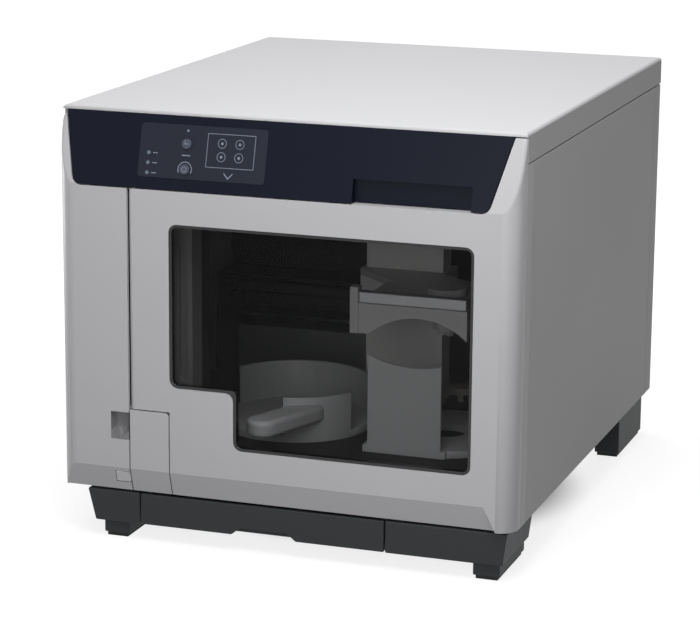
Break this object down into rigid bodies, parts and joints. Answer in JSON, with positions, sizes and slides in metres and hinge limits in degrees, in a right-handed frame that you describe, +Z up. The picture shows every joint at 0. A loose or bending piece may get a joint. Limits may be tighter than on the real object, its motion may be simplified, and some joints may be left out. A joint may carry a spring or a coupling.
{
  "type": "disc label printer",
  "caption": "Bench-top disc label printer with a smoked window door, swinging disc arm, round disc bins, printer tray, ink bay and output drawer.",
  "frame": {"origin": "centre of the footprint, on the surface it stands on", "axes": "+Y from front to back, +Z up, +X to the right seen from the front"},
  "size_m": [0.377, 0.465, 0.348],
  "materials": {
    "silver_shell": "satin silver grey",
    "frame_grey": "satin grey",
    "panel_grey": "fine textured grey paint",
    "lid_pale": "satin pale grey",
    "navy_band": "gloss dark navy",
    "navy_film": "printed film",
    "lamp_lens": "clear lens",
    "button_grey": "satin",
    "base_dark": "satin dark grey",
    "pad_rubber": "soft",
    "tab_pale": "satin",
    "smoked_pane": "smoked clear",
    "black_trim": "gloss black",
    "chassis_steel": "plain sheet",
    "chamber_dark": "matte dark",
    "pale_inner": "satin pale grey",
    "arm_grey": "satin",
    "bin_smoke": "satin grey",
    "tray_grey": "satin",
    "gear_nylon": "natural",
    "black_part": "matte black",
    "board_green": "laminate"
  },
  "bodies": {
    "cabinet": {"base_pan": "chassis_steel", "base_skirts": "base_dark", "front_feet": "base_dark", "rear_feet": "base_dark", "foot_pads": "pad_rubber", "left_side_panel": "panel_grey", "right_side_panel": "panel_grey", "rear_panel": "panel_grey", "rear_screws": "chassis_steel", "top_cover": "lid_pale", "front_frame": "frame_grey", "control_fascia": "navy_band", "control_film": "navy_film", "status_lamps": "lamp_lens", "hinge_cover": "silver_shell", "hinge_pins": "chassis_steel", "door_catch": "chassis_steel", "floor_deck": "chamber_dark", "ink_bay": "chamber_dark", "ink_cartridges": "black_part", "bay_post": "pale_inner", "drawer_rails": "chassis_steel", "turret_base": "gear_nylon", "swing_motor": "black_part", "top_bridge": "chassis_steel", "printer_case": "chamber_dark", "tray_guides": "chamber_dark", "carriage_rail": "chassis_steel", "power_supply": "chassis_steel", "power_inlet": "black_part", "main_board": "board_green", "usb_socket": "black_part", "fan_frame": "black_part"},
    "door": {"door_shell": "silver_shell", "window_bezel": "black_trim", "window_pane": "smoked_pane"},
    "ink_door": {"ink_cover": "silver_shell"},
    "tab": {"release_tab": "tab_pale"},
    "power_key": {"power_button": "button_grey"},
    "cancel_key": {"cancel_button": "button_grey"},
    "drawer": {"disc_drawer": "base_dark", "drawer_front": "base_dark"},
    "bin_1": {"stacker_1": "bin_smoke"},
    "bin_2": {"stacker_2": "bin_smoke", "stacker_grip": "bin_smoke"},
    "turret": {"turret_gear": "gear_nylon", "turret_column": "pale_inner", "guide_rods": "chassis_steel"},
    "pinion": {"swing_pinion": "gear_nylon"},
    "screw": {"lead_screw": "chassis_steel"},
    "arm": {"arm_beam": "arm_grey", "arm_top_bar": "chassis_steel", "gripper_hub": "arm_grey"},
    "claw_1": {"gripper_claw_1": "arm_grey"},
    "claw_2": {"gripper_claw_2": "arm_grey"},
    "claw_3": {"gripper_claw_3": "arm_grey"},
    "tray": {"printer_tray": "tray_grey"},
    "roller": {"tray_roller": "pad_rubber"},
    "carriage": {"print_carriage": "tray_grey"},
    "fan": {"fan_rotor": "black_part"}
  },
  "joints": [
    {"name": "door_swing", "type": "hinge", "parent": "cabinet", "child": "door", "pos_m": [-0.1235, -0.2285, 0.2], "axis": [0, 0, -1], "range_deg": [0, 100]},
    {"name": "ink_cover_swing", "type": "hinge", "parent": "cabinet", "child": "ink_door", "pos_m": [-0.1855, -0.218, 0.17], "axis": [0, 0, -1], "range_deg": [0, 95]},
    {"name": "release_press", "type": "slide", "parent": "ink_door", "child": "tab", "axis": [0, 1, 0], "range_m": [0, 0.002], "stiffness_N_per_m": 400},
    {"name": "power_press", "type": "slide", "parent": "cabinet", "child": "power_key", "axis": [0, 0.9638, -0.2668], "range_m": [0, 0.0012], "stiffness_N_per_m": 400},
    {"name": "cancel_press", "type": "slide", "parent": "cabinet", "child": "cancel_key", "axis": [0, 0.9638, -0.2668], "range_m": [0, 0.0012], "stiffness_N_per_m": 400},
    {"name": "drawer_slide", "type": "slide", "parent": "cabinet", "child": "drawer", "axis": [0, -1, 0], "range_m": [0, 0.16]},
    {"name": "stacker_1_lift", "type": "slide", "parent": "cabinet", "child": "bin_1", "axis": [0, 0, 1], "range_m": [0, 0.04]},
    {"name": "stacker_2_lift", "type": "slide", "parent": "cabinet", "child": "bin_2", "axis": [0, 0, 1], "range_m": [0, 0.035]},
    {"name": "turret_swing", "type": "hinge", "parent": "cabinet", "child": "turret", "pos_m": [0.019, 0.025, 0.19], "axis": [0, 0, -1], "range_deg": [0, 123.8]},
    {"name": "pinion_spin", "type": "hinge", "parent": "cabinet", "child": "pinion", "pos_m": [0.06364, 0.04125, 0.075], "axis": [0, 0, -1], "range_deg": [-465, 0]},
    {"name": "arm_lift", "type": "slide", "parent": "turret", "child": "arm", "axis": [0, 0, 1], "range_m": [-0.076, 0.06]},
    {"name": "screw_spin", "type": "hinge", "parent": "turret", "child": "screw", "pos_m": [0.023, 0.02, 0.2], "axis": [0, 0, 1], "range_deg": [-1711, 1351]},
    {"name": "claw_1_slide", "type": "slide", "parent": "arm", "child": "claw_1", "axis": [0, 1, 0], "range_m": [0, 0.0012]},
    {"name": "claw_2_slide", "type": "slide", "parent": "arm", "child": "claw_2", "axis": [-0.866, -0.5, 0], "range_m": [0, 0.0012]},
    {"name": "claw_3_slide", "type": "slide", "parent": "arm", "child": "claw_3", "axis": [0.866, -0.5, 0], "range_m": [0, 0.0012]},
    {"name": "tray_slide", "type": "slide", "parent": "cabinet", "child": "tray", "axis": [0, -1, 0], "range_m": [0, 0.116]},
    {"name": "roller_spin", "type": "hinge", "parent": "cabinet", "child": "roller", "pos_m": [-0.0978, 0.1, 0.1307], "axis": [1, 0, 0], "range_deg": [0, 740]},
    {"name": "carriage_slide", "type": "slide", "parent": "cabinet", "child": "carriage", "axis": [-1, 0, 0], "range_m": [0, 0.165]},
    {"name": "fan_spin", "type": "hinge", "parent": "cabinet", "child": "fan", "pos_m": [0.125, 0.22, 0.215], "axis": [0, 1, 0], "continuous": true}
  ],
  "couplings": [
    {"joint": "pinion_spin", "follows": "turret_swing", "ratio": -3.75},
    {"joint": "screw_spin", "follows": "arm_lift", "rad_per_m": 392.7},
    {"joint": "claw_2_slide", "follows": "claw_1_slide", "ratio": 1},
    {"joint": "claw_3_slide", "follows": "claw_1_slide", "ratio": 1},
    {"joint": "roller_spin", "follows": "tray_slide", "rad_per_m": 111.11}
  ]
}
